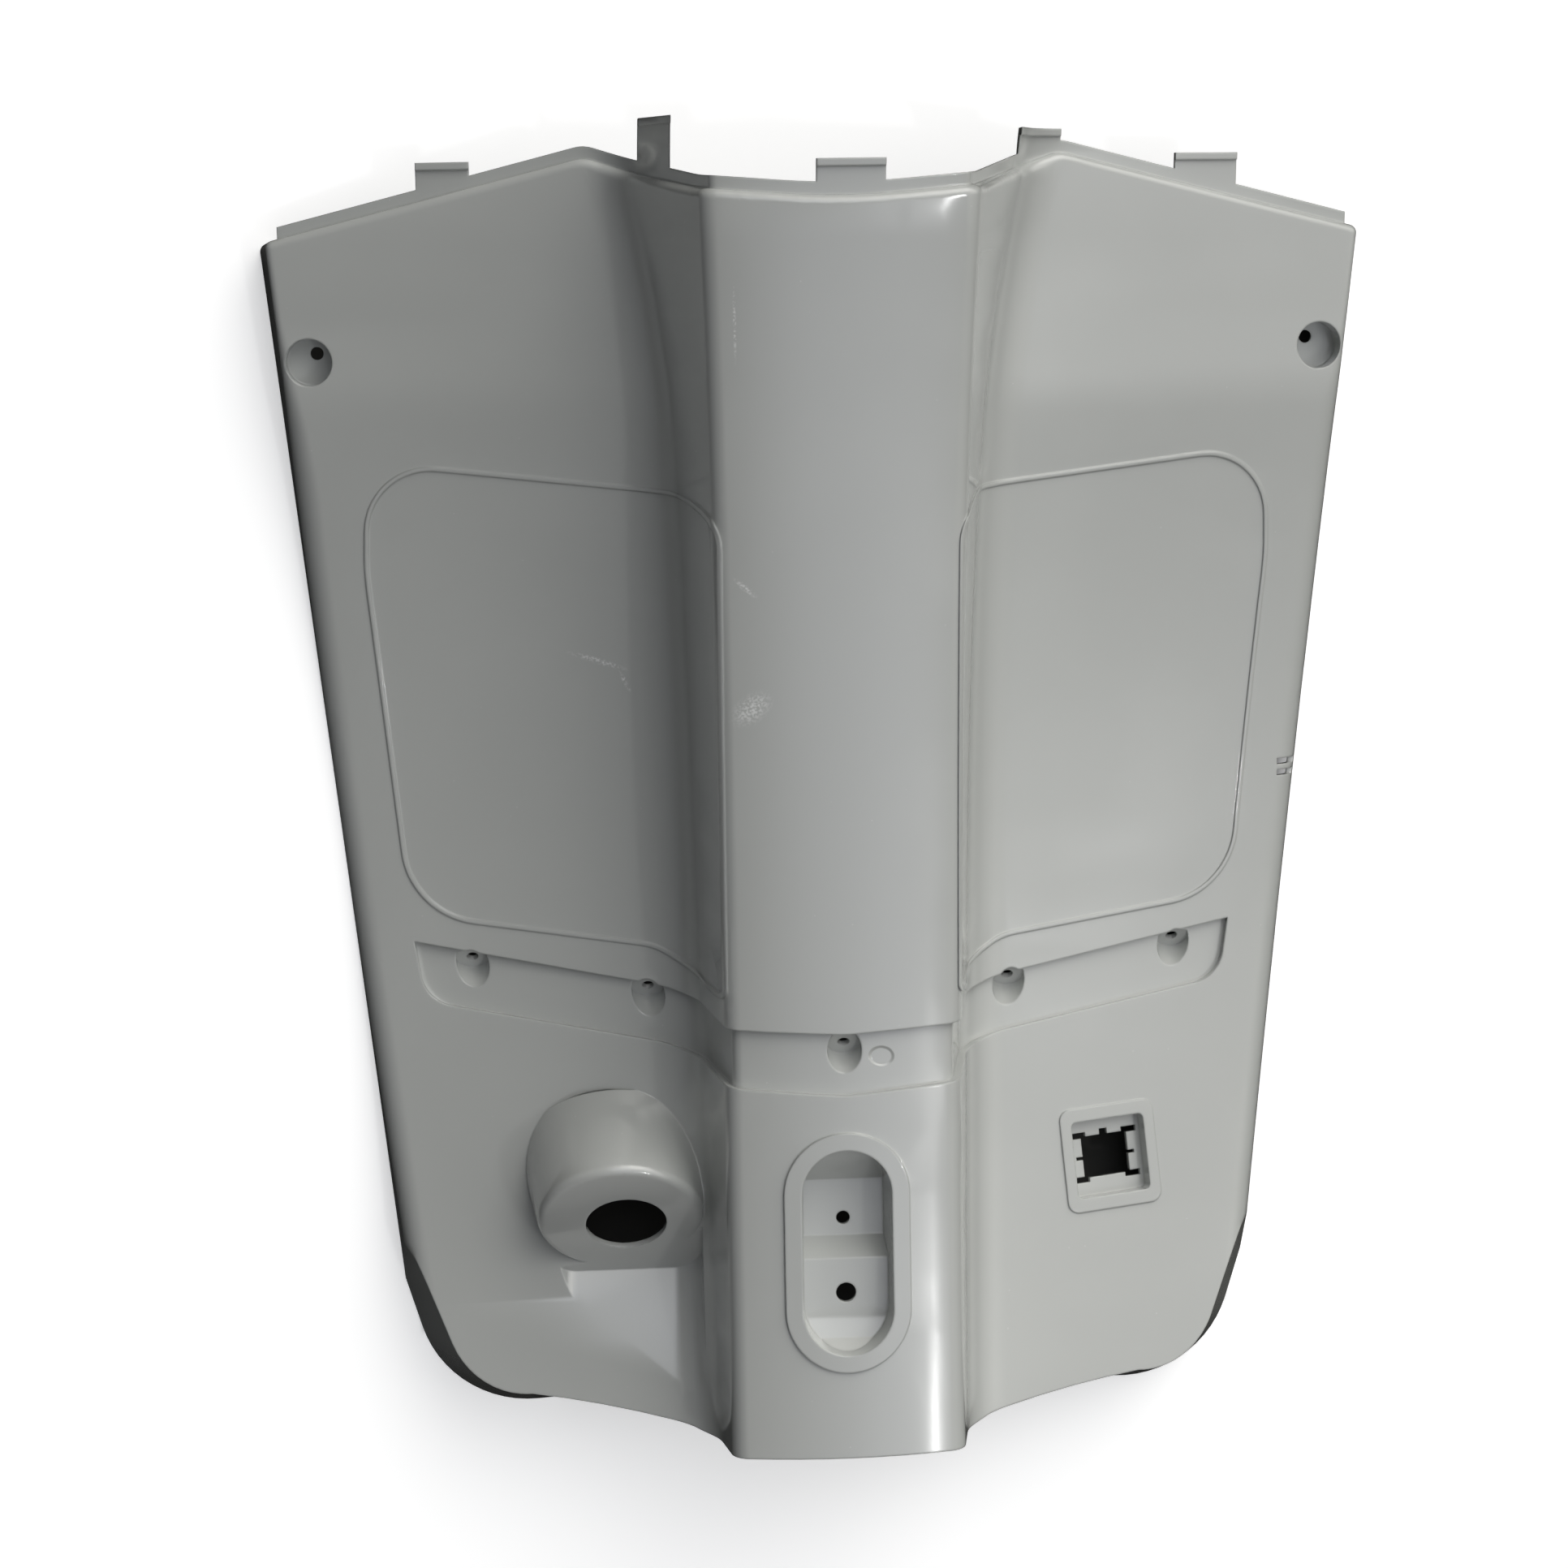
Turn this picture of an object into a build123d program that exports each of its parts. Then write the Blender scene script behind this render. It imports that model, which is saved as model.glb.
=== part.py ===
from build123d import *
from math import cos, radians, sin, sqrt, tan
import os

# Scooter leg shield: one moulded shell. X runs across it, +Y towards its floorboard end and +Z out of
# the face that the rider sees. It lies on its back, with the feet of its side rims on Z = 0.

# Shell
wall = 2.5
low_y = -280.0
high_y = 246.0
far = 330.0
stations = (-far, -290, *range(-260, 131, 30), 156, 165, 174, 200, 230, 265, far)

# Column: half width, height and crown of its face
column_half = 49.0
column_flare = 5.5
column_low_z = 105.0
column_start_slope = -0.070
column_bow = 2.57e-4
crown = 5.0
column_edge_radius = 9.0
flank_lean = 0.18
flank_extra_lean = 0.185
root_radius = 25.0

# Wings: a cradle that is lowest at cradle_y and turns back at the bend
cradle_y = -35.0
cradle_z = 38.0
cradle_bow = 4.75e-4
bend_y = 165.0
bend_length = 18.0
bend_turn = 0.19
wing_sweep = 0.20

# Side rims
side_half = 213.0
side_flare = 0.105
side_draft = tan(radians(9))
roll_radius = 14.0
tip_roll_radius = 4.0
roll_change_length = 60.0

# Upper edge of the face, and the lip set back behind it
tip_x, tip_y = 235.0, 228.0
shoulder_x, shoulder_y = 99.0, 261.0
column_corner_x, column_mid_y = 54.5, 241.5
shoulder_radius, corner_radius, mid_radius = 14.0, 18.0, 300.0
ledge = 4.0
lip_drop = 4.5
lip_reach = 9.0
lip_half = 228.0
ledge_wall, ledge_radius = 0.5, 3.5
edge_low_y, edge_low_z, lip_start_y = 225.0, 15.0, 200.0

# Lower corners: a drafted wall round each, and the return flange between them
corner_x, corner_y = 136.0, -237.0
corner_foot_radius = 50.0
corner_flare = 0.3
corner_draft = tan(radians(22))
corner_top_z = 112.0
lower_edge_half = 60.0
return_depth = 8.0
return_half, return_reach = 118.0, 40.0

# Knee panels: a raised bead round each
bead_width, bead_height = 1.8, 0.7
knee_outline = [(193.5, 139.5), (195.5, 92), (181, -58), (76, -71), (49.5, -86), (49.5, 124)]
knee_radii = [28, 120, 34, 30, 4, 20]

# Band that the tray overlaps: a recess across the whole face, with a sharp step along its upper side
band_depth = 3.5
band_upper = [(180, -70.5), (75, -88.5), (48, -95.5), (0, -98)]
band_lower = [(176, -97), (75, -113.5), (45, -121), (0, -124.5)]
band_end_radius, band_bend_radius = 16.0, 40.0

# Screws in the band: a scoop with a tilted seat at each hole
screw_spots = [(155, -78), (79, -90), (0, -102.5), (-79, -90), (-155, -78)]
screw_hole_radius = 2.5
scoop_radius, scoop_length, scoop_tilt, scoop_drop = 7.25, 60.0, 40.0, 7.0

# Hook recess in the column: a raised ring round a stepped pocket
hook_y, hook_mouth_z, hook_deep = -191.5, 112.0, 40.0
hook_long, hook_wide = 89.0, 39.0
hook_ring_width, hook_ring_height = 7.0, 1.2
hook_draft = 5.0
hook_floor = [(-147, 103), (-156.7, 93), (-165, 85), (-189.5, 85)]
hook_floor += [(-197, 95), (-221.5, 95), (-231, 98), (-236, 104)]
hook_holes = [(-182, 2.9), (-212, 4.25)]

# Lock boss on one wing: its end face, the bore for the lock, and the ramp cut in front of it
lock_face = Plane((-91.6, -188.3, 60), x_dir=(1, 0, 0), z_dir=(0, -sin(radians(39)), cos(radians(39))))
lock_bore_radius = 17.5
lock_radius, lock_base_radius, lock_rim_radius = 35.5, 43.0, 3.5
lock_shift_x, lock_shift_y = -2.4, 3.0
lock_length, lock_lean = 54.0, 20.0
lock_ramp_half, lock_ramp_low, lock_ramp_tilt, lock_ramp_radius = 33.0, -34.0, 25.0, 12.0
lock_ramp_length = 60.0

# Socket recess on the other wing
socket_x, socket_y, socket_turn = 123.7, -172.5, 5.0
socket_frame_x, socket_frame_y, socket_frame_radius, socket_frame_height = 44.0, 46.0, 5.0, 1.0
socket_wide, socket_radius, socket_depth = 34.0, 2.5, 6.0
socket_cuts = [(0, 0, 21.5, 18.5), (0, 10.45, 3.6, 2.6)]
socket_cuts += [(sx * 11.95, sy * 9.85, 7, 2.6) for sx in (1, -1) for sy in (1, -1)]
socket_cuts += [(side * 12.15, -0.3, 3.2, 1.5) for side in (1, -1)]

# Screw pockets at the upper corners
pocket_x, pocket_y, pocket_radius, pocket_depth = 216.5, 182.0, 10.0, 14.0
pocket_hole_radius, pocket_hole_in, pocket_hole_up = 2.75, 3.0, 3.5

# Tabs beyond the lip: x from, x to, end y
tabs = [(-169, -146.6, 264), (150.5, 178, 264), (-10, 17.5, 260.5), (-77.5, -65.5, 279), (80, 100, 274)]
tab_start_y = 225.0
barb_height, barb_length = 1.6, 3.0

# Clip slots in one side wall
slot_ys, slot_width, slot_height, slot_z = (-1.5, -6.5), 2.6, 8.0, 3.0

# Ribs behind the column
rib_ys, rib_half, rib_thickness, rib_depth = (-60, 10, 80, 150), 60.0, 2.0, 16.0


def along(y):
    return max((y - low_y) / (high_y - low_y), 0.0)


def column_height(y):
    run = y - low_y
    return column_low_z + column_start_slope * run + column_bow * run ** 2


def past_bend(y):
    run = y - bend_y + bend_length / 2
    if run <= 0:
        return 0.0
    return run ** 2 / (2 * bend_length) if run < bend_length else run - bend_length / 2


def wing_height(y):
    return cradle_z + cradle_bow * (y - cradle_y) ** 2 - bend_turn * past_bend(y)


def roll_at(y):
    share = min(max((bend_y + roll_change_length / 2 - y) / roll_change_length, 0.0), 1.0)
    return tip_roll_radius + (roll_radius - tip_roll_radius) * share * share * (3 - 2 * share)


def meet(p, u, q, v):
    # Where the line from p along u crosses the line from q along v, in the XZ plane
    return p + u * (((q.X - p.X) * v.Z - (q.Z - p.Z) * v.X) / (u.X * v.Z - u.Z * v.X))


def round_corner(corner, u, v, radius):
    # Cubic curve that rounds the corner between directions u and v, as its four control points
    turn = radians(u.get_angle(v))
    cut, handle = radius * tan(turn / 2), radius * 4 / 3 * tan(turn / 4)
    start, end = corner - u * cut, corner + v * cut
    return [start, start + u * handle, end - v * handle, end]


def flip(points):
    return [Vector(-p.X, p.Y, p.Z) for p in reversed(points)]


def cross_section(y, inset):
    # The whole outline at one station, with its face set back by inset along its own normals
    half = column_half + column_flare * along(y) ** 3
    top, root = column_height(y), wing_height(y)
    lean = flank_lean + flank_extra_lean * along(y) ** 6
    column_corner = Vector(half, 0, top)
    root_corner = Vector(half + lean * (top - root), 0, root)
    flank_dir = (root_corner - column_corner).normalized()
    wing_dir = Vector(1, 0, -wing_sweep).normalized()
    side_dir = Vector(side_draft, 0, -1).normalized()
    crown_dir = Vector(half, 0, -2 * crown).normalized()
    directions = (crown_dir, flank_dir, wing_dir, side_dir)
    crown_n, flank_n, wing_n, side_n = (Vector(-d.Z, 0, d.X) for d in directions)

    crown_p, flank_p = column_corner - crown_n * inset, column_corner - flank_n * inset
    wing_p = root_corner - wing_n * inset
    side_p = Vector(side_half + side_flare * y, 0, 0) - side_n * inset
    edge_size, root_size = column_edge_radius - inset, root_radius + inset
    roll_size = max(roll_at(y) - inset, wall / 5)
    edge = round_corner(meet(crown_p, crown_dir, flank_p, flank_dir), crown_dir, flank_dir, edge_size)
    hollow = round_corner(meet(flank_p, flank_dir, wing_p, wing_dir), flank_dir, wing_dir, root_size)
    roll = round_corner(meet(wing_p, wing_dir, side_p, side_dir), wing_dir, side_dir, roll_size)
    foot = side_p + side_dir * (return_depth + inset)
    right = [edge, [edge[3], hollow[0]], hollow, [hollow[3], roll[0]], roll, [roll[3], foot]]
    left = [flip(points) for points in reversed(right)]
    reach = edge[0].X * 2 / 3
    over = [edge[0] - crown_dir * reach, edge[0]]
    crown_curve = flip(over) + over
    pieces = left + [crown_curve] + right + [[foot, left[0][0]]]
    return Wire([Edge.make_bezier(*points) for points in pieces]).moved(Location((0, y, 0)))


def block(inset):
    # Everything behind the face set back by inset, lofted through stations along Y
    return Solid.make_loft([cross_section(y, inset) for y in stations], ruled=True)


def prism(points, radii, low=-far, high=far):
    outline = make_face(FilletPolyline(*points, radius=radii, close=True))
    return extrude(Pos(0, 0, low) * outline, high - low)


def mirrored(points, values):
    # A left and right pair of each point, in order round the outline, with the values that go with them
    left = [(-x, y) for x, y in reversed(points) if x > 0]
    left_values = [v for (x, y), v in zip(reversed(points), reversed(values)) if x > 0]
    return points + left, values + left_values


def top_outline(rise, half=far, from_y=-far):
    # Plan of everything from from_y to the upper edge raised by rise, out to half on each side
    slope = (shoulder_y - tip_y) / (shoulder_x - tip_x)
    end_y = tip_y + slope * (half - tip_x) + rise
    upper = [
        (half, from_y),
        (half, end_y),
        (shoulder_x, shoulder_y + rise),
        (column_corner_x, high_y + rise),
        (0, column_mid_y + rise),
    ]
    return mirrored(upper, [0, 0, shoulder_radius, corner_radius, mid_radius])


def rim_outline(z, inset):
    # Plan of the corner walls at height z, with every wall set in by inset
    draft = corner_draft * z + inset
    side_x = corner_x + corner_foot_radius - draft
    bottom_y = corner_y - corner_foot_radius + draft
    points = [
        (side_x + corner_flare * (far - corner_y), far),
        (side_x - corner_flare * (corner_y - bottom_y), bottom_y),
        (lower_edge_half, low_y + inset),
    ]
    return mirrored(points, [0, corner_foot_radius - draft, lower_edge_half / 2])


def rim_block(inset):
    # Everything inside the corner walls and above the feet, or below them too for the hollow
    wires = []
    for z in (-return_depth if inset else 0.0, corner_top_z):
        points, radii = rim_outline(z, inset)
        wires.append(FilletPolyline(*points, radius=radii, close=True).wire().moved(Location((0, 0, z))))
    walls = Solid.make_loft(wires, ruled=True)
    above = Pos(0, 0, corner_top_z + far / 2) * Box(2 * far, 2 * far, far)
    above -= Pos(0, low_y - far / 2 + inset, corner_top_z + far / 2) * Box(2 * far, far, far)
    return walls + above


def grow(shape, inset):
    return offset(shape, inset) if inset else shape


def both_sides(points):
    # A run of points from the right edge to the middle, then on to the left edge
    return points + [(-x, y) for x, y in reversed(points) if x > 0]


def surface_z(x, y):
    # Height of the face over a point of its plan, away from its rounded edges
    top, root = column_height(y), wing_height(y)
    half = column_half + column_flare * along(y) ** 3
    lean = flank_lean + flank_extra_lean * along(y) ** 6
    if abs(x) < half:
        return top + crown * (1 - (x / half) ** 2)
    return root - wing_sweep * (abs(x) - half - lean * (top - root))


def bead(points, radii):
    outline = make_face(FilletPolyline(*points, radius=radii, close=True))
    ring = offset(outline, bead_width / 2) - offset(outline, -bead_width / 2)
    return extrude(Pos(0, 0, -far) * ring, 2 * far)


def band_prism(inset):
    # Plan of the band, open below its lower edge to the depth that the soft edge needs
    upper = both_sides(band_upper)
    lower = both_sides(band_lower)
    radii = [0] + [band_bend_radius] * (len(upper) - 2) + [0, band_end_radius]
    radii += [band_bend_radius] * (len(lower) - 2) + [band_end_radius]
    outline = make_face(FilletPolyline(*upper, *reversed(lower), radius=radii, close=True))
    return extrude(grow(outline, inset), far)


def screw_tool(x, y, inset):
    # Scoop over one screw, with its seat square to the tilted screw
    seat = screw_seat(x, y)
    return seat * Pos(0, 0, -inset) * Cylinder(
        scoop_radius + inset, scoop_length, align=(Align.CENTER, Align.CENTER, Align.MIN)
    )


def screw_seat(x, y):
    tilt = radians(scoop_tilt)
    return Plane((x, y, surface_z(x, y) - scoop_drop), x_dir=(1, 0, 0), z_dir=(0, -sin(tilt), cos(tilt)))


def hook_tool(inset):
    # Stepped pocket: a drafted slot, kept to what lies above the stepped floor
    slot = Rot(0, 0, 90) * SlotOverall(hook_long + 2 * inset, hook_wide + 2 * inset)
    slot = extrude(Pos(0, hook_y, hook_mouth_z) * slot, hook_deep, dir=(0, 0, -1), taper=hook_draft)
    profile = [(hook_floor[0][0] + far, far), *hook_floor, (hook_floor[-1][0] - far, far)]
    profile = make_face(Plane.YZ * Polyline(*profile, close=True))
    return slot & extrude(grow(profile, inset), hook_wide, both=True)


def lock_boss(inset):
    # Round end face on a boss that leans and widens down to the wing
    lean = radians(lock_lean)
    end = lock_face * Pos(lock_shift_x, lock_shift_y, -inset)
    base = Pos(0, lock_length * sin(lean), -lock_length * cos(lean)) * end
    circles = [base * Wire.make_circle(lock_base_radius - inset), end * Wire.make_circle(lock_radius - inset)]
    boss = Solid.make_loft(circles, ruled=True)
    if not inset:
        boss = fillet(boss.edges().sort_by(Axis((0, 0, 0), lock_face.z_dir))[-1], lock_rim_radius)
    return boss


def lock_ramp(inset):
    # Flat-bottomed channel that rises out of the wing in front of the boss's end face
    tilt = radians(lock_ramp_tilt)
    valley = lock_face.from_local_coords((0, lock_ramp_low, 0))
    line = Plane(valley, x_dir=(1, 0, 0), z_dir=(0, -cos(tilt), sin(tilt)))
    height = 4 * lock_ramp_half
    section = RectangleRounded(2 * (lock_ramp_half + inset), height, lock_ramp_radius + inset)
    channel = extrude(line * Pos(0, height / 2 - inset, -lock_ramp_length) * section, 2 * lock_ramp_length)
    front = lock_face * Pos(0, 0, -inset) * Box(far, far, far, align=(Align.CENTER, Align.CENTER, Align.MIN))
    return channel & front


def socket_plane():
    normal = Vector(wing_sweep, -2 * cradle_bow * (socket_y - cradle_y), 1)
    turn = radians(socket_turn)
    return Plane(
        (socket_x, socket_y, surface_z(socket_x, socket_y)), x_dir=(cos(turn), sin(turn), 0), z_dir=normal
    )


def corner_pocket(side, inset):
    floor = surface_z(pocket_x, pocket_y) - pocket_depth - inset
    return Pos(side * pocket_x, pocket_y, floor) * Cylinder(
        pocket_radius + inset, far, align=(Align.CENTER, Align.CENTER, Align.MIN)
    )


def outer():
    # The face with everything on it, and the lip behind its upper edge
    shape = block(0) & rim_block(0) & prism(*top_outline(ledge))
    shape = fillet(upper_edges(shape), ledge_radius)
    return shape + [lock_boss(0), *raised_shapes(), *lip()] - recesses(0)


def core():
    # The hollow behind the shell: deeper behind the lip, open below the return flange, less the ribs
    shape = block(wall) & rim_block(wall) & prism(*top_outline(-ledge_wall))
    shape += [
        block(lip_drop + wall) & rim_block(wall),
        block(return_depth) & Pos(0, low_y, far / 2) * Box(2 * return_half, return_reach, far),
        lock_boss(wall),
    ]
    return shape - [*recesses(wall), ribs()]


def recesses(inset):
    # Every recess of the face, set back by inset
    tools = [band_prism(inset) - block(band_depth + inset), hook_tool(inset), lock_ramp(inset)]
    tools += [screw_tool(x, y, inset) for x, y in screw_spots]
    tools += [socket_tool(inset), corner_pocket(1, inset), corner_pocket(-1, inset)]
    return tools


def upper_edges(shape):
    # The chain of edges that bounds the face along its upper end
    boxes = [(edge, edge.bounding_box().min) for edge in shape.edges()]
    return [edge for edge, low in boxes if low.Y > edge_low_y and low.Z > edge_low_z]


def raised_shapes():
    # Beads, the ring round the hook recess and the frame round the socket
    left = [(-x, y) for x, y in reversed(knee_outline)]
    beads = bead(knee_outline, knee_radii) + bead(left, list(reversed(knee_radii)))
    ring = Rot(0, 0, 90) * SlotOverall(hook_long + 2 * hook_ring_width, hook_wide + 2 * hook_ring_width)
    frame = RectangleRounded(socket_frame_x, socket_frame_y, socket_frame_radius)
    return [
        block(-bead_height) & beads,
        block(-hook_ring_height) & extrude(Pos(0, hook_y, 0) * ring, far),
        socket_plane() * Pos(0, 0, -socket_depth) * extrude(frame, socket_depth + socket_frame_height),
    ]


def socket_tool(inset):
    opening = RectangleRounded(socket_wide + 2 * inset, socket_wide + 2 * inset, socket_radius + inset)
    return socket_plane() * Pos(0, 0, -socket_depth - inset) * extrude(opening, far / 2)


def lip():
    # Plate set back behind the upper edge, with its tabs, and the barb at the end of each tab
    plates = prism(*top_outline(lip_reach, lip_half, lip_start_y))
    barbs = Part()
    for from_x, to_x, end_y in tabs:
        middle, width = (from_x + to_x) / 2, to_x - from_x
        plates += Pos(middle, (tab_start_y + end_y) / 2, far / 2) * Box(width, end_y - tab_start_y, far)
        barbs += Pos(middle, end_y - barb_length / 2, far / 2) * Box(width, barb_length, far)
    return [block(lip_drop) & plates, block(lip_drop - barb_height) & barbs]


def holes():
    # Everything that is cut right through the wall
    cuts = [screw_seat(x, y) * Cylinder(screw_hole_radius, 6 * wall) for x, y in screw_spots]
    cuts += [Pos(0, y, hook_mouth_z) * Cylinder(radius, 2 * hook_deep) for y, radius in hook_holes]
    cuts.append(lock_face * Cylinder(lock_bore_radius, 4 * wall))
    for x, y, width, height in socket_cuts:
        cuts.append(socket_plane() * Pos(x, y, -socket_depth) * Box(width, height, 4 * wall))
    for side in (1, -1):
        x, y = pocket_x - pocket_hole_in, pocket_y + pocket_hole_up
        floor = surface_z(pocket_x, pocket_y) - pocket_depth
        cuts.append(Pos(side * x, y, floor) * Cylinder(pocket_hole_radius, 4 * wall))
    side_x = side_half + side_flare * slot_ys[0]
    slot = Box(8 * wall, slot_width, slot_height)
    return cuts + [Pos(side_x, y, slot_z + slot_height / 2) * slot for y in slot_ys]


def ribs():
    # Cross ribs inside the column, as deep as rib_depth below its face
    plates = [Pos(0, y, far / 2) * Box(2 * rib_half, rib_thickness, far) for y in rib_ys]
    return Part() + plates - Pos(0, 0, -rib_depth) * block(wall)


os.makedirs("parts", exist_ok=True)
shield = outer() - core() - holes()
shield &= Pos(0, 0, far / 2) * Box(4 * far, 4 * far, far)
bounds = shield.bounding_box()
shield = Pos(-bounds.center().X, -bounds.center().Y, -bounds.min.Z) * shield
export_step(shield, "parts/leg_shield.step")
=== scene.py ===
import math
import bpy
from mathutils import Matrix, Vector

# Scooter leg shield: one glossy moulded panel, lying on its back in open daylight

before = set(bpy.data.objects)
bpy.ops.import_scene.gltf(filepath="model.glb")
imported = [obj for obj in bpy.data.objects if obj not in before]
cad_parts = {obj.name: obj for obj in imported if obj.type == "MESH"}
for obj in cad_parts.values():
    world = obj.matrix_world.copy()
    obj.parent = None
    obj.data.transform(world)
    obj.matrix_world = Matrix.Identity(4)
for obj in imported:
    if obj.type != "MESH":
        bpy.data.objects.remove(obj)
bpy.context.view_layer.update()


# Colours and node helpers

def linear(hexCode):
    # sRGB hex to the linear values that shaders take
    parts = [int(hexCode[i:i + 2], 16) / 255 for i in (0, 2, 4)]
    return [c / 12.92 if c <= 0.04045 else ((c + 0.055) / 1.055) ** 2.4 for c in parts] + [1.0]


def addNode(tree, kind, settings=None, links=None):
    # One node with its settings, and its inputs by name or index: a socket to link, or a value
    node = tree.nodes.new(kind)
    for name, value in (settings or {}).items():
        setattr(node, name, value)
    for key, value in (links or {}).items():
        if isinstance(value, bpy.types.NodeSocket):
            tree.links.new(value, node.inputs[key])
        else:
            node.inputs[key].default_value = value
    return node


def maths(tree, operation, *values):
    node = addNode(tree, "ShaderNodeMath", {"operation": operation}, dict(enumerate(values)))
    return node.outputs["Value"]


def vectorMaths(tree, operation, *values):
    # Gives back the vector, or the number where the operation makes one
    node = addNode(tree, "ShaderNodeVectorMath", {"operation": operation}, dict(enumerate(values)))
    return node.outputs["Value" if operation in ("LENGTH", "DOT_PRODUCT") else "Vector"]


def spread(tree, value, fromRange=(0.0, 1.0), toRange=(0.0, 1.0), kind="LINEAR"):
    # The value's place in one range, carried over to the other
    return addNode(tree, "ShaderNodeMapRange", {"interpolation_type": kind}, {
        "Value": value, "From Min": fromRange[0], "From Max": fromRange[1],
        "To Min": toRange[0], "To Max": toRange[1]}).outputs["Result"]


def mixColours(tree, share, first, second):
    node = addNode(tree, "ShaderNodeMix", {"data_type": "RGBA"})
    sockets = [socket for socket in node.inputs if socket.enabled]
    for socket, value in zip(sockets, (share, first, second)):
        if isinstance(value, bpy.types.NodeSocket):
            tree.links.new(value, socket)
        else:
            socket.default_value = value
    return next(socket for socket in node.outputs if socket.enabled)


def noise(tree, place, size, detail):
    # Cloudy noise whose lumps are about size metres across
    return addNode(tree, "ShaderNodeTexNoise", None, {
        "Vector": place, "Scale": 1 / size, "Detail": detail}).outputs["Fac"]


def emptyTree(owner):
    owner.use_nodes = True
    owner.node_tree.nodes.clear()
    return owner.node_tree


# Shading of the panel's facets

facetLook = {
    "mergeWithin": 0.00001,     # metres, the seams between the solid's faces
    "sharpOver": math.radians(28),
}


def smoothWithin():
    # Geometry Nodes tree: joins the seams, then shades smooth wherever faces meet at less than sharpOver
    tree = bpy.data.node_groups.new("smooth within an angle", "GeometryNodeTree")
    for way in ("INPUT", "OUTPUT"):
        tree.interface.new_socket("Geometry", in_out=way, socket_type="NodeSocketGeometry")
    sizes = {"Merge within": facetLook["mergeWithin"], "Sharp over": facetLook["sharpOver"]}
    for name, value in sizes.items():
        socket = tree.interface.new_socket(name, in_out="INPUT", socket_type="NodeSocketFloat")
        socket.default_value = value
    given = tree.nodes.new("NodeGroupInput").outputs
    joined = addNode(tree, "GeometryNodeMergeByDistance", None, {
        "Geometry": given["Geometry"], "Distance": given["Merge within"]}).outputs[0]
    plain = addNode(tree, "GeometryNodeRemoveAttribute", None, {
        "Geometry": joined, "Name": "custom_normal"}).outputs[0]
    angle = addNode(tree, "GeometryNodeInputMeshEdgeAngle").outputs["Unsigned Angle"]
    sharp = addNode(tree, "FunctionNodeCompare", {"data_type": "FLOAT", "operation": "GREATER_THAN"}, {
        0: angle, 1: given["Sharp over"]}).outputs["Result"]
    faces = addNode(tree, "GeometryNodeSetShadeSmooth", {"domain": "FACE"}, {"Geometry": plain}).outputs[0]
    edges = addNode(tree, "GeometryNodeSetShadeSmooth", {"domain": "EDGE"}, {"Geometry": faces}).outputs[0]
    done = addNode(tree, "GeometryNodeSetShadeSmooth", {"domain": "EDGE"}, {
        "Geometry": edges, "Selection": sharp, "Shade Smooth": False}).outputs[0]
    addNode(tree, "NodeGroupOutput", None, {"Geometry": done})
    return tree


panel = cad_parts["leg_shield"]
panel.modifiers.new("smooth within an angle", "NODES").node_group = smoothWithin()
print("panel shaded smooth")


# The panel's own plastic. Sizes are in metres, and pairs are the ends of a range

panelLook = {
    "grey": "babcb9",       # pale warm grey, moulded in
    "greyRubbed": "bdbfbc",
    "greyScuffed": "dcdddb",
    "roughness": 0.13,      # polished mould, so the sky shows in it
    "roughnessRubbed": 0.20,
    "roughnessScuffed": 0.5,
    "ior": 1.54,            # ABS
    "coatRoughness": 0.05,  # clear lacquer
    "coatIor": 1.5,
    "coatScuffed": 0.3,
    "edgeRadius": 0.0012,
    "edgeSamples": 4,
    "peelSize": 0.0026,     # orange peel of the mould
    "peelHeight": 0.000003,
    "dimpleDepth": 0.0005,
    "dimpleEdge": (1.0, 0.7),
    "blotchSize": 0.09,     # wide patches dulled by hands
    "blotchFrom": (0.45, 0.75),
    "dustSize": 0.004,
    "dustReach": (0.10, 0.04),
    "dustShow": 0.35,
    "dustRare": 0.86,
    "streakSize": 0.0011,
    "streakFrom": (0.42, 0.62),
    "scuffEdge": (1.0, 0.2),
}

# Rubs that the photo shows, as centre, half length, half width and turn from +X
panelScuffs = [
    {"at": (-0.0975, 0.0560), "half": (0.0150, 0.0016), "turn": math.radians(-17)},
    {"at": (-0.0862, 0.0470), "half": (0.0060, 0.0012), "turn": math.radians(-62)},
    {"at": (-0.0390, 0.0930), "half": (0.0070, 0.0016), "turn": math.radians(-40)},
    {"at": (-0.0370, 0.0430), "half": (0.0110, 0.0065), "turn": math.radians(38)},
    {"at": (-0.0425, 0.1990), "half": (0.0180, 0.0008), "turn": math.radians(91)},
]

# Shallow oval dimple in the band, beside the middle screw
bandDimple = {"at": (0.0155, -0.1056), "half": (0.0058, 0.0046), "turn": math.radians(-8)}


def ovalReach(tree, place, spot):
    # 0 in the middle of an oval spot of the plan, 1 on its edge
    (long, wide), (x, y) = spot["half"], spot["at"]
    flat = vectorMaths(tree, "MULTIPLY", place, (1, 1, 0))
    turned = addNode(tree, "ShaderNodeMapping", {"vector_type": "TEXTURE"}, {
        "Vector": flat, "Location": (x, y, 0), "Rotation": (0, 0, spot["turn"]),
        "Scale": (long, wide, 1)}).outputs["Vector"]
    return vectorMaths(tree, "LENGTH", turned)


def dustMask(tree, place):
    # A few pale specks
    cells = addNode(tree, "ShaderNodeTexVoronoi", {"feature": "F1"}, {
        "Vector": place, "Scale": 1 / panelLook["dustSize"]}).outputs
    chosen = maths(tree, "GREATER_THAN", cells["Color"], panelLook["dustRare"])
    speck = spread(tree, cells["Distance"], panelLook["dustReach"], (0.0, panelLook["dustShow"]))
    return maths(tree, "MULTIPLY", speck, chosen)


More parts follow.
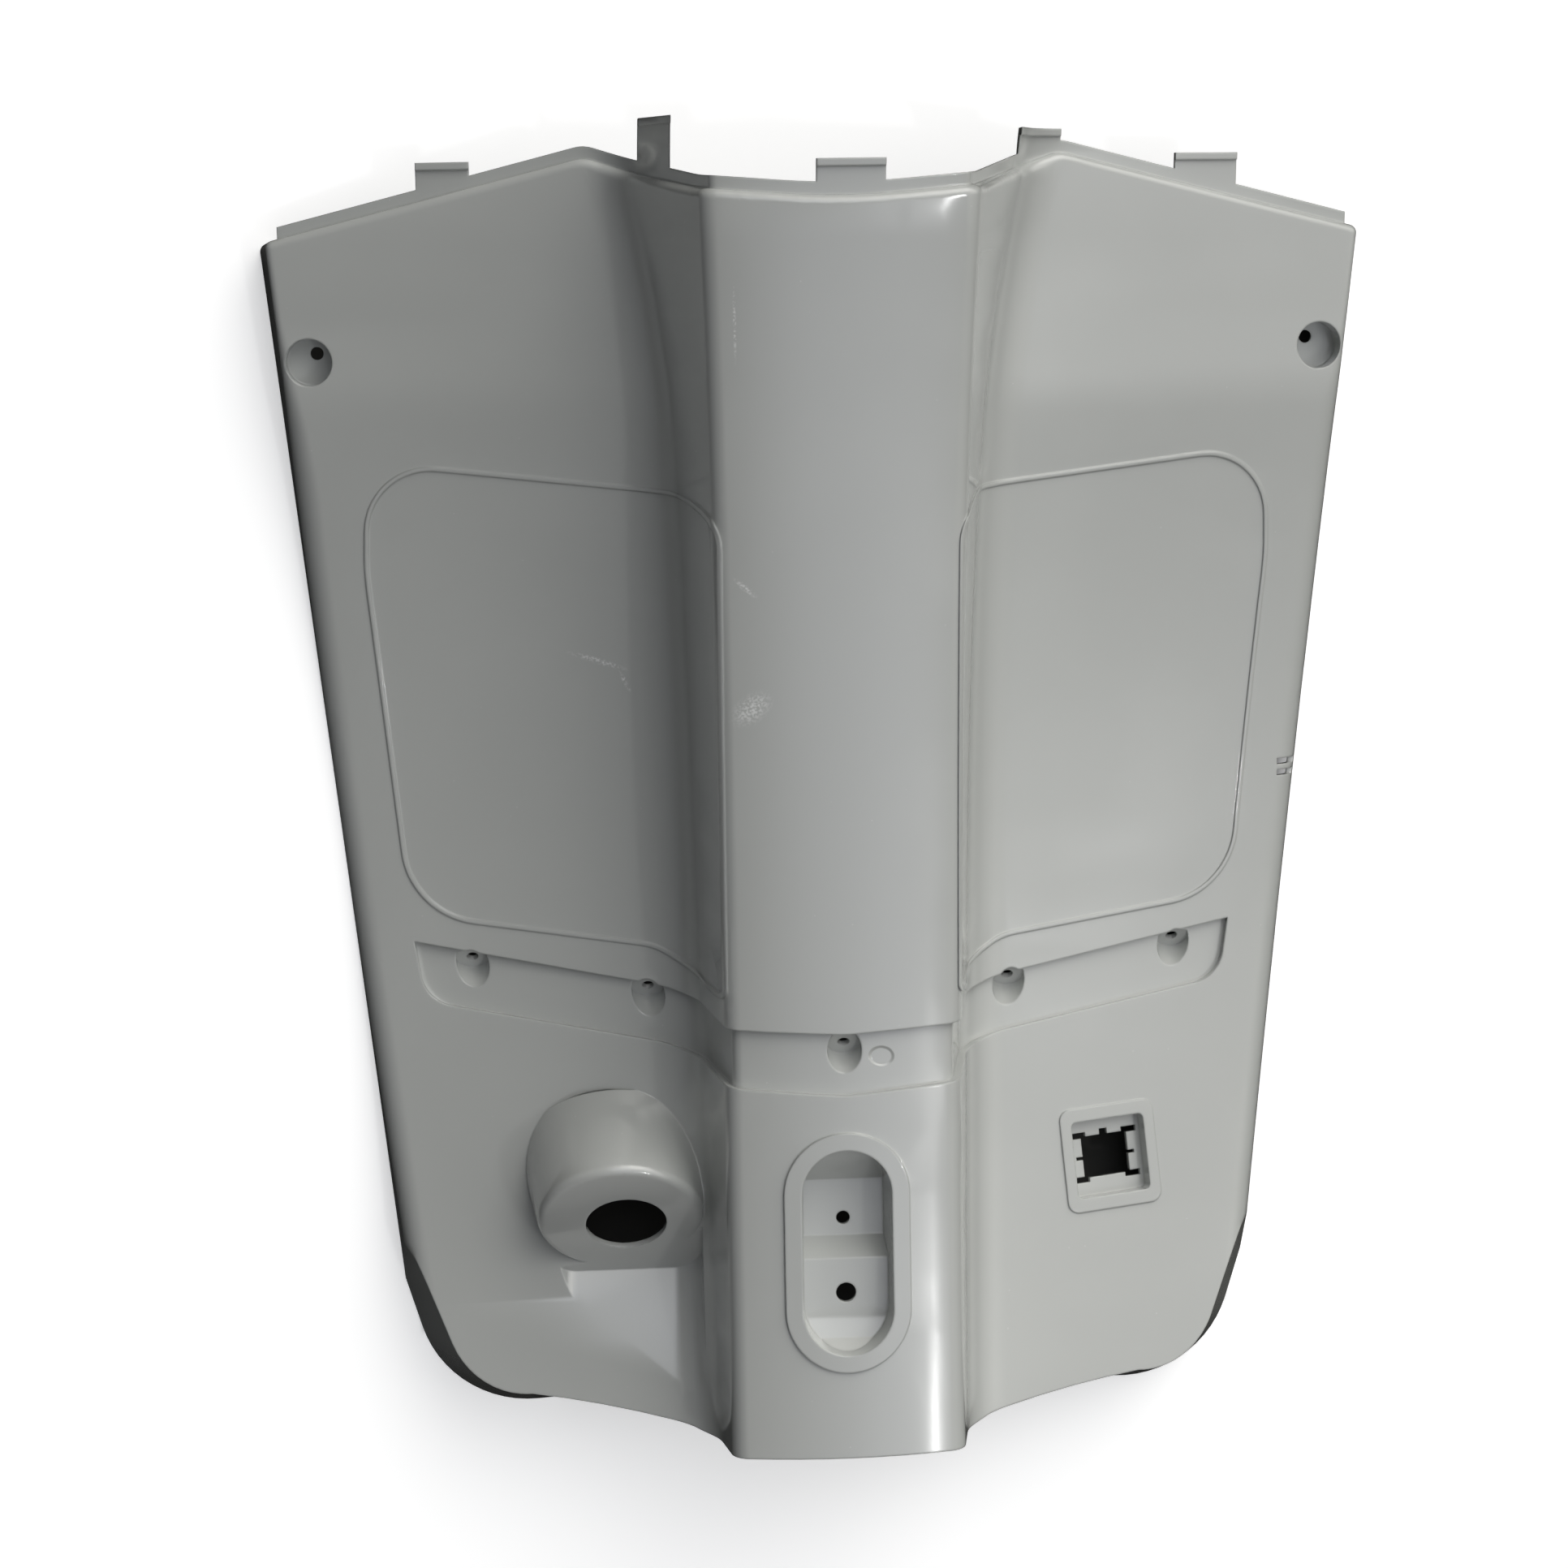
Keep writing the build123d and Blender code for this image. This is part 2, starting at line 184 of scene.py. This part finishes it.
def markMask(tree, place):
    # Where dust or a scuff shows: each scuff is a soft oval broken up by fine streaks
    streaks = spread(tree, noise(tree, place, panelLook["streakSize"], 2.0), panelLook["streakFrom"])
    marks = dustMask(tree, place)
    for scuff in panelScuffs:
        soft = spread(tree, ovalReach(tree, place, scuff), panelLook["scuffEdge"])
        marks = maths(tree, "MAXIMUM", marks, maths(tree, "MULTIPLY", soft, streaks))
    return marks


def panelNormal(tree, place):
    # Rounded edges, then the dimple, then the orange peel
    edge = addNode(tree, "ShaderNodeBevel", {"samples": panelLook["edgeSamples"]}, {
        "Radius": panelLook["edgeRadius"]}).outputs["Normal"]
    dimple = spread(tree, ovalReach(tree, place, bandDimple), panelLook["dimpleEdge"], kind="SMOOTHSTEP")
    dented = addNode(tree, "ShaderNodeBump", {"invert": True}, {
        "Height": dimple, "Distance": panelLook["dimpleDepth"], "Strength": 1.0,
        "Normal": edge}).outputs["Normal"]
    return addNode(tree, "ShaderNodeBump", None, {
        "Height": noise(tree, place, panelLook["peelSize"], 1.0), "Distance": panelLook["peelHeight"],
        "Strength": 1.0, "Normal": dented}).outputs["Normal"]


def absGlossLacquered():
    # ABS, injection moulded and lacquered: even pale grey, a clear reflection of the sky and of
    # its own wings over it, and a faint orange peel that breaks the reflection's edge
    material = bpy.data.materials.new("ABS gloss lacquered")
    tree = emptyTree(material)
    place = addNode(tree, "ShaderNodeTexCoord").outputs["Object"]
    rubbed = spread(tree, noise(tree, place, panelLook["blotchSize"], 3.0), panelLook["blotchFrom"])
    marks = markMask(tree, place)
    grey = mixColours(tree, rubbed, linear(panelLook["grey"]), linear(panelLook["greyRubbed"]))
    colour = mixColours(tree, marks, grey, linear(panelLook["greyScuffed"]))
    plain = spread(tree, rubbed, toRange=(panelLook["roughness"], panelLook["roughnessRubbed"]))
    rough = addNode(tree, "ShaderNodeMapRange", None, {
        "Value": marks, "To Min": plain, "To Max": panelLook["roughnessScuffed"]}).outputs["Result"]
    normal = panelNormal(tree, place)
    shader = addNode(tree, "ShaderNodeBsdfPrincipled", None, {
        "Base Color": colour, "Roughness": rough, "IOR": panelLook["ior"], "Normal": normal,
        "Coat Weight": spread(tree, marks, toRange=(1.0, panelLook["coatScuffed"])),
        "Coat Roughness": panelLook["coatRoughness"], "Coat IOR": panelLook["coatIor"],
        "Coat Normal": normal})
    addNode(tree, "ShaderNodeOutputMaterial", None, {"Surface": shader.outputs["BSDF"]})
    return material


panelMaterial = absGlossLacquered()
for slot in panel.material_slots:
    slot.material = panelMaterial
print("panel material assigned")


# Ground and sky

groundLook = {
    "paper": "fbfbfb",      # what the camera sees
    "glow": 0.42,           # lifts the paper to white where no shadow falls
    "bounce": "383836",     # what the panel sees of the ground
    # The shade colour is painted shade: the ground under the panel, seen through its holes, is coloured
    # dark to stand in for the shade there
    "shade": "474745",      # the ground seen through the panel's holes
    "half": 6.0,
    "shadeHalf": (0.210, 0.2325),
    "shadeFlare": 0.105,    # widens with y, as the panel's side rims do
    "shadeShift": 0.0175,   # reaches further towards the handlebar end
    "shadeSoft": 0.008,
}


def paintedShadeUnder(tree):
    # Mask of the painted shade: 1 on the ground that the panel covers, 0 beyond its rims
    place = addNode(tree, "ShaderNodeTexCoord").outputs["Object"]
    axes = addNode(tree, "ShaderNodeSeparateXYZ", None, {"Vector": place}).outputs
    halfX, halfY = groundLook["shadeHalf"]
    limit = maths(tree, "MULTIPLY_ADD", axes["Y"], groundLook["shadeFlare"], halfX)
    inX = maths(tree, "SUBTRACT", limit, maths(tree, "ABSOLUTE", axes["X"]))
    along = maths(tree, "ADD", axes["Y"], groundLook["shadeShift"])
    inY = maths(tree, "SUBTRACT", halfY, maths(tree, "ABSOLUTE", along))
    return spread(tree, maths(tree, "MINIMUM", inX, inY), (0.0, groundLook["shadeSoft"]))


def groundSheet():
    # White to the camera, but dull to the panel, as the yard it lay in was. Under the panel the camera
    # sees painted shade: the paper is coloured dark there and not lifted to white.
    material = bpy.data.materials.new("ground paper")
    tree = emptyTree(material)
    seen = addNode(tree, "ShaderNodeLightPath").outputs["Is Camera Ray"]
    under = paintedShadeUnder(tree)
    # Painted shade: the paper the camera sees turns dark where the panel covers it
    paper = mixColours(tree, under, linear(groundLook["paper"]), linear(groundLook["shade"]))
    colour = mixColours(tree, seen, linear(groundLook["bounce"]), paper)
    lift = maths(tree, "MULTIPLY", seen, spread(tree, under, toRange=(groundLook["glow"], 0.0)))
    dull = addNode(tree, "ShaderNodeBsdfDiffuse", None, {"Color": colour}).outputs["BSDF"]
    glow = addNode(tree, "ShaderNodeEmission", None, {
        "Color": (1, 1, 1, 1), "Strength": lift}).outputs["Emission"]
    both = addNode(tree, "ShaderNodeAddShader", None, {0: dull, 1: glow}).outputs["Shader"]
    addNode(tree, "ShaderNodeOutputMaterial", None, {"Surface": both})
    half = groundLook["half"]
    corners = [(-half, -half, 0), (half, -half, 0), (half, half, 0), (-half, half, 0)]
    mesh = bpy.data.meshes.new("ground")
    mesh.from_pydata(corners, [], [(0, 1, 2, 3)])
    mesh.materials.append(material)
    ground = bpy.data.objects.new("ground", mesh)
    bpy.context.scene.collection.objects.link(ground)


groundSheet()

skyLook = {
    "sunStrength": 0.16,
    "sunAngle": math.radians(2.0),
    "sunTowards": (0.43, -0.18, 0.88),
}

# Bright patches of an open, hazy sky, brightest beyond the floorboard end: the higher the spread,
# the narrower the patch
skyPatches = [
    {"towards": (0.00, 0.37, 0.93), "strength": 1.7, "spread": 40.0, "colour": "f3f6ff"},
    {"towards": (0.32, -0.19, 0.93), "strength": 1.1, "spread": 40.0, "colour": "f3f6ff"},
    {"towards": (0.00, -0.37, 0.93), "strength": 0.7, "spread": 40.0, "colour": "f3f6ff"},
    {"towards": (0.71, 0.00, 0.71), "strength": 0.8, "spread": 16.0, "colour": "fffefb"},
    {"towards": (0.35, 0.61, 0.71), "strength": 2.8, "spread": 16.0, "colour": "fffefb"},
    {"towards": (0.88, 0.36, 0.31), "strength": 1.4, "spread": 12.0, "colour": "fffdf8"},
    {"towards": (0.36, 0.88, 0.31), "strength": 2.7, "spread": 12.0, "colour": "fffdf8"},
    {"towards": (-0.20, -0.90, 0.35), "strength": 0.5, "spread": 12.0, "colour": "fffdf8"},
    {"towards": (-0.90, 0.20, 0.30), "strength": 0.12, "spread": 6.0, "colour": "eef2ff"},
]


def skyPatch(tree, way, patch):
    # Light of one patch for the direction looked in
    facing = maths(tree, "MAXIMUM", vectorMaths(tree, "DOT_PRODUCT", way, patch["towards"]), 0.0)
    share = maths(tree, "MULTIPLY", maths(tree, "POWER", facing, patch["spread"]), patch["strength"])
    return addNode(tree, "ShaderNodeVectorMath", {"operation": "SCALE"}, {
        "Vector": linear(patch["colour"])[:3], "Scale": share}).outputs["Vector"]


def sky():
    world = bpy.data.worlds.new("sky")
    bpy.context.scene.world = world
    tree = emptyTree(world)
    way = addNode(tree, "ShaderNodeTexCoord").outputs["Generated"]
    total = (0, 0, 0)
    for patch in skyPatches:
        total = vectorMaths(tree, "ADD", total, skyPatch(tree, way, patch))
    seen = addNode(tree, "ShaderNodeLightPath").outputs["Is Camera Ray"]
    colour = mixColours(tree, seen, total, (1, 1, 1, 1))
    back = addNode(tree, "ShaderNodeBackground", None, {"Color": colour, "Strength": 1.0})
    addNode(tree, "ShaderNodeOutputWorld", None, {"Surface": back.outputs["Background"]})


def sun():
    light = bpy.data.lights.new("sun", "SUN")
    light.energy = skyLook["sunStrength"]
    light.angle = skyLook["sunAngle"]
    lamp = bpy.data.objects.new("sun", light)
    lamp.rotation_euler = Vector(skyLook["sunTowards"]).to_track_quat("Z", "Y").to_euler()
    bpy.context.scene.collection.objects.link(lamp)


sky()
sun()
print("sky and sun set")


# Camera, placed by fitting the photo

cameraLook = {
    "lens": 80.0,
    "sensor": 36.0,
    "place": (-0.13008, 0.21865, 1.52109),
    "target": (-0.02187, 0.00721, 0.080),
    "roll": math.radians(-0.912),
    "farClip": 50.0,
}


def photoCamera():
    data = bpy.data.cameras.new("camera")
    data.lens = cameraLook["lens"]
    data.sensor_width = cameraLook["sensor"]
    data.clip_end = cameraLook["farClip"]
    camera = bpy.data.objects.new("camera", data)
    place, target = Vector(cameraLook["place"]), Vector(cameraLook["target"])
    back = (place - target).normalized()
    right = Vector((0, 1, 0)).cross(back).normalized()
    up = back.cross(right)
    level = Matrix((right, up, back)).transposed().to_4x4()
    camera.matrix_world = Matrix.Translation(place) @ level @ Matrix.Rotation(cameraLook["roll"], 4, "Z")
    bpy.context.scene.collection.objects.link(camera)
    bpy.context.scene.camera = camera


photoCamera()
bpy.context.scene.view_settings.view_transform = "Standard"
